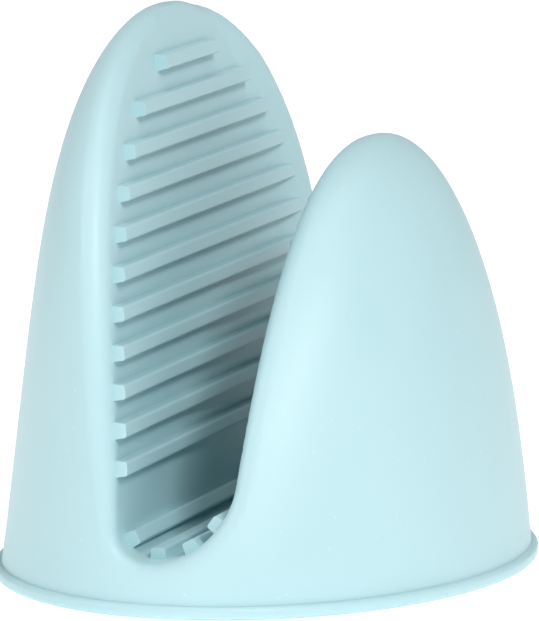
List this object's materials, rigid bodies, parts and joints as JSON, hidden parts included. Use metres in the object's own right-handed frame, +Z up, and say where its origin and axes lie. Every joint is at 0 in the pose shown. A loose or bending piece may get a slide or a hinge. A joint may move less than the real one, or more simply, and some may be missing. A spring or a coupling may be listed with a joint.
{
  "type": "oven mitt",
  "caption": "Short pinch-style oven mitt moulded in silicone, with finger and thumb pockets, a ribbed grip valley and an open oval cuff with a rolled edge.",
  "frame": {"origin": "centre of the cuff's rim, in the plane it stands on", "axes": "+Z up from the rim to the pocket tips, +Y across the fingers, +X from the finger pocket to the thumb pocket"},
  "size_m": [0.093, 0.1258, 0.0999],
  "materials": {
    "silicone": "matte to satin moulded silicone"
  },
  "bodies": {
    "cuff": {"cuff": "silicone", "grip_web": "silicone", "rim_bead": "silicone", "web_rib_1": "silicone", "web_rib_2": "silicone", "web_rib_3": "silicone", "web_rib_4": "silicone"},
    "finger": {"finger_pocket": "silicone", "finger_rib_01": "silicone", "finger_rib_02": "silicone", "finger_rib_03": "silicone", "finger_rib_04": "silicone", "finger_rib_05": "silicone", "finger_rib_06": "silicone", "finger_rib_07": "silicone", "finger_rib_08": "silicone", "finger_rib_09": "silicone", "finger_rib_10": "silicone", "finger_rib_11": "silicone"},
    "thumb": {"thumb_pocket": "silicone", "thumb_rib_01": "silicone", "thumb_rib_02": "silicone", "thumb_rib_03": "silicone", "thumb_rib_04": "silicone", "thumb_rib_05": "silicone", "thumb_rib_06": "silicone", "thumb_rib_07": "silicone"}
  },
  "joints": [
    {"name": "finger_flex", "type": "hinge", "parent": "cuff", "child": "finger", "pos_m": [-0.00929, 0, 0.017], "axis": [0, 1, 0], "range_deg": [-3, 10], "stiffness_Nm_per_rad": 1.5},
    {"name": "thumb_flex", "type": "hinge", "parent": "cuff", "child": "thumb", "pos_m": [0.01192, 0, 0.017], "axis": [0, -1, 0], "range_deg": [-3, 13], "stiffness_Nm_per_rad": 1.2}
  ]
}
